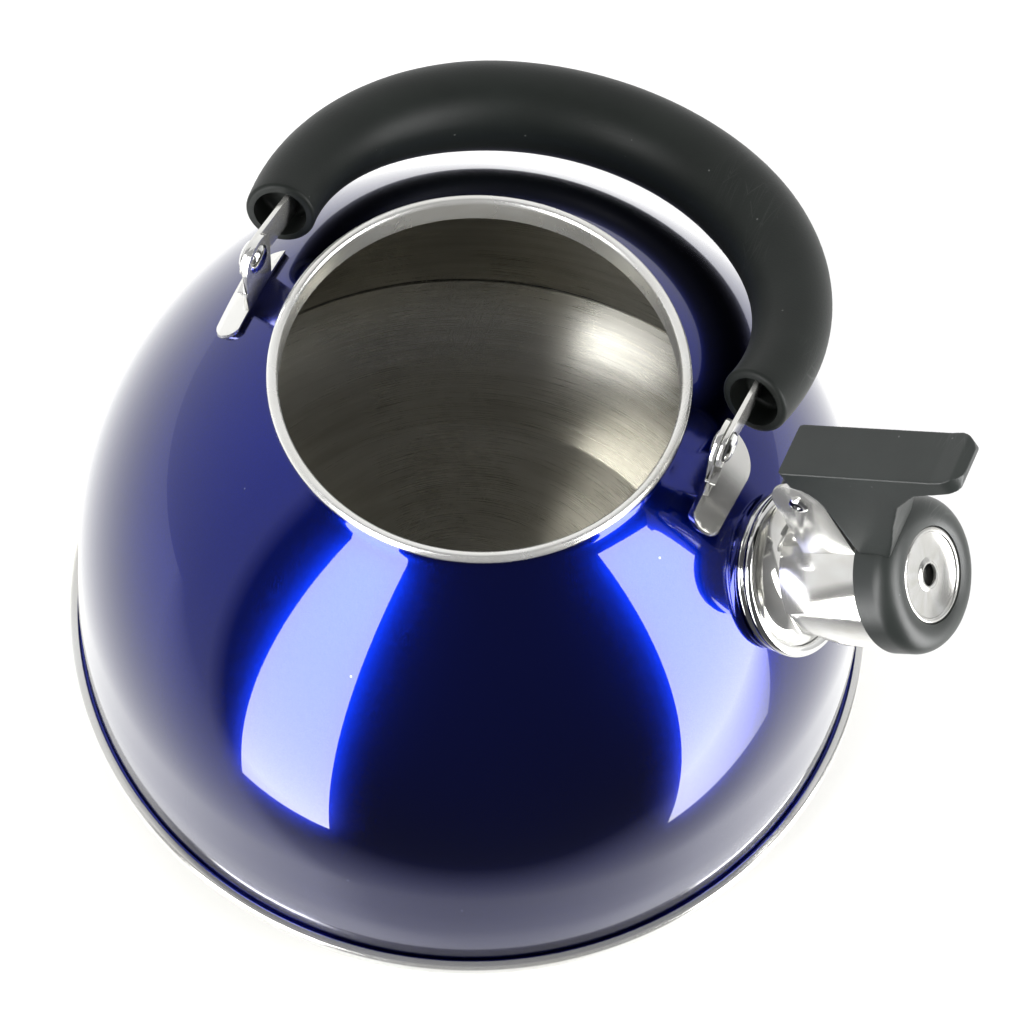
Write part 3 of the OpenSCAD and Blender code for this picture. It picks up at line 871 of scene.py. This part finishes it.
class KETTLE_OT_whistle(Operator):
    """Thumb lever, whistle cap and the perforated chrome disc"""

    bl_idname = "kettle.whistle"
    bl_label = "Whistle"

    def execute(self, context):
        part = sizes()
        lever = copy_of("whistle_lever", "thumb_lever")
        modifier(lever, "REMESH", mode="VOXEL", voxel_size=0.32 * MM)
        modifier(lever, "SMOOTH", factor=0.5, iterations=5)
        finish_piece(lever, "lever", lever_plastic(), ("whistle_lever",), 60)

        rounding = 5.2 * MM
        donut = part.cap_radius - rounding
        nose = 35.5 * MM
        seat = 38.4 * MM
        disc = 12.05 * MM
        rim = part.cap_radius
        outline = [Vector((rim - 0.7 * MM, 30 * MM)), Vector((rim - 0.3 * MM, 30 * MM)),
                   Vector((rim, 30.3 * MM)), Vector((rim, 33 * MM))]
        outline += arc((donut, nose), rounding, 0, math.acos((disc - donut) / rounding), 28)
        outline += [Vector((disc, seat)), Vector((9.1 * MM, seat)), Vector((9.1 * MM, 35.6 * MM)),
                    Vector((rim - 0.7 * MM, 35.6 * MM))]
        cap = turn_on_spout("whistle_hood", outline)
        finish_piece(cap, "lever", lever_plastic(), ("whistle_cap",))

        profile = vectors([(2.7, 38.5), (2.7, 39.0), (2.85, 39.2), (3.3, 39.22), (3.9, 38.85), (4.6, 38.8),
                           (7.5, 39.1), (10.3, 39.5)])
        profile += arc((11.2 * MM, 39.3 * MM), 0.8 * MM, radians(160), radians(0), 14)
        profile += vectors([(12.0, 38.5)])
        face = turn_on_spout("whistle_disc", profile)
        disc_chrome = polished_steel("Disc chrome", True, (0.16, 0.24), 0.62)
        finish_piece(face, "lever", disc_chrome, ("whistle_front",), 30)
        refinish("whistle_back", polished_steel())
        refinish("cap_seal", seal_rubber())
        return {"FINISHED"}


# ---- the handle


class KETTLE_OT_lugs(Operator):
    """Polished lugs with their ears, and the hinge rivets"""

    bl_idname = "kettle.lugs"
    bl_label = "Lugs"

    def execute(self, context):
        for node, name in (("lug_front", "lug_near_spout"), ("lug_rear", "lug_far")):
            lug = copy_of(node, name)
            soften(lug, 0.25 * MM, 3, 40)
            finish_piece(lug, "kettle", polished_steel("Lug steel", False, (0.1, 0.16)), (node,))
        hinge = Vector(JOINTS["handle_fold"]["pos_m"])
        outline = vectors([(0, -1.3), (1.2, -1.3), (2.4, -1.25), (3.5, -0.7), (3.85, -0.15), (3.8, 0), (2.5, 0),
                           (2.5, 2.7), (3.9, 2.7), (4.05, 2.85), (3.95, 3.2), (3.2, 3.8), (2.2, 4.15),
                           (1.3, 4.1), (0.9, 3.85), (0, 3.8)])
        ear = 61.9 * MM
        right, left = (Matrix.Translation((side * ear, hinge.y, hinge.z))
                       @ Matrix.Rotation(side * math.pi / 2, 4, "Y") for side in (1, -1))
        rivets = pair(turn("rivet", outline, 96, closed=False), "fold_rivets", right, left)
        finish_piece(rivets, "kettle", chrome(), ("hinge_rivets",))
        return {"FINISHED"}


def ease(share):
    """A share from 0 to 1, with a soft start and end."""
    return share * share * (3 - 2 * share)


def grip_thickness(angle):
    """Half thickness of the grip at an angle from the top of the arch."""
    part = sizes()
    start = radians(30)
    share = max(0.0, (abs(angle) - start) / (part.arch_half - start))
    return part.grip_radius + (part.grip_end_radius - part.grip_radius) * ease(share)


class KETTLE_OT_straps(Operator):
    """Flat steel straps between the hinge and the grip"""

    bl_idname = "kettle.straps"
    bl_label = "Straps"

    def execute(self, context):
        part = sizes()
        for node, name, side in (("strap_front", "strap_near_spout", 1), ("strap_rear", "strap_far", -1)):
            low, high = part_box(node)
            half = part.strap_width / 2
            outline = arc((0, 0), half, -math.pi, 0, 28)
            outline += [Vector((half, 43 * MM)), Vector((-half, 43 * MM))]
            strap = plate(name, outline, -0.6 * MM, 0.6 * MM)
            soften(strap, 0.22 * MM, 3, 40)
            middle = (low.x + high.x) / 2
            put(strap, Matrix.Translation((middle, 0, 0)) @ handle_frame() @ Matrix.Rotation(math.pi / 2, 4, "Z"))
            steel = polished_steel("Strap steel", False, (0.16, 0.26))
            finish_piece(strap, "handle", steel, (node,))
        refinish("grip_pins", polished_steel())
        return {"FINISHED"}


class KETTLE_OT_grip(Operator):
    """Arched soft-touch grip with its moulded end hollows"""

    bl_idname = "kettle.grip"
    bl_label = "Grip"

    def execute(self, context):
        part = sizes()
        arch_centre = Vector((0, 0, part.arch_top - part.arch_radius))
        rings = 96
        round_over = 1.1 * MM
        edge = round_over / part.arch_radius
        inner = [-part.arch_half + edge + (2 * (part.arch_half - edge)) * step / rings
                 for step in range(rings + 1)]
        head = [(-part.arch_half + edge * (1 - math.sin(turned)), round_over * (1 - math.cos(turned)))
                for turned in (radians(value) for value in (90, 70, 50, 30, 12))]
        stations = head + [(angle, 0.0) for angle in inner] + [(-angle, drop) for angle, drop in head[::-1]]

        grip = fresh(bpy.ops.mesh.primitive_circle_add, "grip_moulding",
                     vertices=64, radius=1.0, fill_type="NGON")
        bpy.ops.object.mode_set(mode="EDIT")
        bpy.ops.mesh.select_all(action="SELECT")
        angle, drop = stations[0]
        radius = grip_thickness(angle) - drop
        bpy.ops.transform.resize(value=(radius, radius, radius))
        # the face starts square to the arch at its first end
        spot = arch_centre + Vector((math.sin(angle), 0, math.cos(angle))) * part.arch_radius
        bpy.ops.transform.translate(value=spot)
        bpy.ops.transform.rotate(value=-(angle + math.pi / 2), orient_axis="Y", center_override=spot)
        for there, next_drop in stations[1:]:
            next_spot = arch_centre + Vector((math.sin(there), 0, math.cos(there))) * part.arch_radius
            next_radius = grip_thickness(there) - next_drop
            bpy.ops.mesh.extrude_region_move(TRANSFORM_OT_translate={"value": next_spot - spot})
            bpy.ops.transform.rotate(value=-(there - angle), orient_axis="Y", center_override=next_spot)
            ratio = next_radius / radius
            bpy.ops.transform.resize(value=(ratio, ratio, ratio), center_override=next_spot)
            angle, spot, radius = there, next_spot, next_radius
        close_up(grip)
        strap_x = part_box("strap_front")[0].x - 0.05 * MM
        for side in (1, -1):
            slot = fresh(bpy.ops.mesh.primitive_cube_add, "strap_slot", size=1.0)
            put(slot, Matrix.Translation((side * (strap_x + 0.65 * MM), 0, 24 * MM))
                @ Matrix.Diagonal((1.3 * MM, part.strap_width + 0.1 * MM, 39 * MM, 1)))
            carve(grip, slot)
            outwards = Vector((side * math.sin(part.arch_half), 0, math.cos(part.arch_half)))
            end = arch_centre + outwards * part.arch_radius
            walls = rounded([(0, -2 * MM), (6.8 * MM, -2 * MM), (6.8 * MM, 8 * MM, 1.2 * MM), (0, 8 * MM)], 5)
            pocket = turn("pocket", walls, 64, closed=False)
            put(pocket, Matrix.Translation(end) @ Matrix.Rotation(side * (part.arch_half - math.pi / 2), 4, "Y"))
            carve(grip, pocket)
        put(grip, handle_frame())
        finish_piece(grip, "handle", grip_plastic(), ("grip",), 40)
        return {"FINISHED"}


# ---- the stage


class StageSettings(PropertyGroup):
    """Camera and lights"""

    look_at: FloatVectorProperty(name="Look at", description="Point at the middle of the picture",
                                 size=3, subtype="TRANSLATION", default=(0.0128, -0.0048, 0.09))
    distance: a_number("Distance", "From the camera to that point", 0.9058, "LENGTH")
    azimuth: an_angle("Azimuth", "Turn of the camera round the kettle", 20.6)
    elevation: an_angle("Elevation", "Height angle of the camera", 61.32)
    roll: an_angle("Roll", "Turn of the camera about its own axis", 3.96)
    lens: a_number("Lens", "Focal length in millimetres on a 36 mm sensor", 123.05)
    panel_radiance: a_number("Panel brightness", "Radiance of the soft panels", 11.0)
    fill_power: a_number("Fill power", "Power of the overhead fill", 26.0, "POWER")
    # glow of the card under the floor that paints the lit table's reflection in the lacquer and the chrome
    painted_reflection_glow: a_number("Painted reflection brightness", "How bright the lit table looks in reflections", 1.3)


# centre, yaw and pitch of the outward normal in degrees, width and height of each soft panel
SOFT_PANELS = {
    "left_panel": ((-0.45, -1.22, 0.37), -93.0, 7.0, 0.58, 2.4),
    "right_panel": ((1.30, 0.05, 0.05), -37.0, 10.0, 0.84, 2.05),
}


def add_panel(name, centre, yaw, pitch, width, height, radiance):
    """A tall soft panel that faces the kettle."""
    lamp = fresh(bpy.ops.object.light_add, name, type="AREA", location=centre)
    lamp.data.shape = "RECTANGLE"
    lamp.data.size, lamp.data.size_y = width, height
    lamp.data.energy = radiance * math.pi * width * height
    away = Vector((math.cos(yaw) * math.cos(pitch), math.sin(yaw) * math.cos(pitch), math.sin(pitch)))
    lamp.rotation_euler = away.to_track_quat("Z", "Y").to_euler()
    lamp.visible_camera = False
    return lamp


class KETTLE_OT_stage(Operator):
    """Pale floor, soft panels, studio surroundings and the camera"""

    bl_idname = "kettle.stage"
    bl_label = "Stage"

    def execute(self, context):
        stage = context.scene.kettle_stage
        context.scene.view_settings.view_transform = "Standard"
        self.add_floor(stage)
        for name, (centre, yaw, pitch, width, height) in SOFT_PANELS.items():
            add_panel(name, centre, radians(yaw), radians(pitch), width, height, stage.panel_radiance)
        self.add_fill(stage)
        self.add_surroundings()
        self.add_camera(stage)
        return {"FINISHED"}

    def add_floor(self, stage):
        floor = fresh(bpy.ops.mesh.primitive_plane_add, "studio_floor", size=12)
        material, tree, shader = new_finish("Studio floor", Roughness=0.6)
        place = axis_place(tree)
        patches = tree.noise(place, 3.0, 3.0)
        tones = colours().floor
        duller = tuple(value * 0.97 for value in tones)
        tree.join(tree.mix(patches, tones, duller), shader.inputs["Base Color"])
        floor.data.materials.append(material)
        floor.visible_glossy = False

        # a glowing card under the floor that only glossy rays see: a painted reflection of the lit table top in
        # the lacquer and the chrome, with its near edge towards the camera
        table = fresh(bpy.ops.mesh.primitive_plane_add, "painted_table_reflection", size=1)
        towards = radians(-66)
        fade_start, near_edge, depth, width = 0.075, 0.19, 1.6, 3.0
        centre = Vector((-math.cos(towards), -math.sin(towards), 0)) * (depth / 2 - near_edge)
        put(table, Matrix.Translation((centre.x, centre.y, -2 * MM)) @ Matrix.Rotation(towards, 4, "Z")
            @ Matrix.Diagonal((depth, width, 1, 1)))
        # painted reflection: the card glows though it is no lamp, and fades out towards its near edge
        glow, tree, shader = new_finish("Painted table reflection", Emission_Strength=stage.painted_reflection_glow, Roughness=1.0)
        out_from_axis = tree.add("VectorMath", {0: axis_place(tree), 1: (math.cos(towards), math.sin(towards), 0)},
                                 operation="DOT_PRODUCT").outputs["Value"]
        tree.join(tree.span(out_from_axis, fade_start, near_edge, 1.0, 0.0), shader.inputs["Alpha"])
        shader.inputs["Base Color"].default_value = (0, 0, 0, 1)
        shader.inputs["Emission Color"].default_value = (1, 1, 0.99, 1)
        table.data.materials.append(glow)
        table.visible_diffuse = False
        table.visible_camera = False

    def add_fill(self, stage):
        """A wide overhead fill that only matt surfaces take."""
        fill = fresh(bpy.ops.object.light_add, "overhead_fill", type="AREA", location=(-0.2, -0.1, 2.2))
        fill.data.size = 3.0
        fill.data.energy = stage.fill_power
        fill.visible_glossy = False
        fill.visible_camera = False

    def add_surroundings(self):
        """A studio that is pale behind and beside the kettle and dark on the camera's side."""
        world = bpy.data.worlds.new("Studio")
        bpy.context.scene.world = world
        world.use_nodes = True
        tree = Tree(world.node_tree)
        background = world.node_tree.nodes["Background"]
        towards = tree.add("TexCoord").outputs["Generated"]
        pale_side = (-0.6, 0.75, -0.28)
        behind = tree.add("VectorMath", {0: towards, 1: pale_side}, operation="DOT_PRODUCT").outputs["Value"]
        wall = tree.span(behind, -0.16, -0.06, 0.0, 0.62)
        share = tree.plus(wall, tree.span(behind, 0.1, 0.9, 0.0, 0.38))
        tree.join(tree.mix(share, (0.09, 0.09, 0.095), (1.15, 1.15, 1.15)), background.inputs["Color"])
        background.inputs["Strength"].default_value = 1.0

    def add_camera(self, stage):
        bpy.ops.object.camera_add()
        camera = bpy.context.object
        camera.data.lens = stage.lens
        camera.data.sensor_width = 36
        aim = Vector((-math.sin(stage.azimuth) * math.cos(stage.elevation),
                      math.cos(stage.azimuth) * math.cos(stage.elevation), -math.sin(stage.elevation)))
        camera.location = Vector(stage.look_at) - aim * stage.distance
        turned = aim.to_track_quat("-Z", "Y").to_matrix() @ Matrix.Rotation(stage.roll, 3, "Z")
        camera.rotation_euler = turned.to_euler()
        bpy.context.scene.camera = camera


# ---- the add-on


OPERATORS = (
    KETTLE_OT_stage, KETTLE_OT_dome, KETTLE_OT_mouth, KETTLE_OT_pan, KETTLE_OT_seam, KETTLE_OT_base,
    KETTLE_OT_spout, KETTLE_OT_bracket, KETTLE_OT_whistle, KETTLE_OT_lugs, KETTLE_OT_straps, KETTLE_OT_grip,
)


class KETTLE_PT_parts(Panel):
    """Lists the kettle's pieces in the sidebar"""

    bl_label = "Kettle"
    bl_space_type = "VIEW_3D"
    bl_region_type = "UI"
    bl_category = "Kettle"

    def draw(self, context):
        for operator in OPERATORS:
            self.layout.operator(operator.bl_idname)


CLASSES = (KettleSizes, KettleColours, StageSettings, *OPERATORS, KETTLE_PT_parts)


def register():
    for cls in CLASSES:
        bpy.utils.register_class(cls)
    bpy.types.Scene.kettle_sizes = PointerProperty(type=KettleSizes)
    bpy.types.Scene.kettle_colours = PointerProperty(type=KettleColours)
    bpy.types.Scene.kettle_stage = PointerProperty(type=StageSettings)


def unregister():
    del bpy.types.Scene.kettle_stage, bpy.types.Scene.kettle_colours, bpy.types.Scene.kettle_sizes
    for cls in reversed(CLASSES):
        bpy.utils.unregister_class(cls)


def main():
    register()
    for operator in OPERATORS:
        group, name = operator.bl_idname.split(".")
        getattr(getattr(bpy.ops, group), name)()


if __name__ == "__main__":
    main()
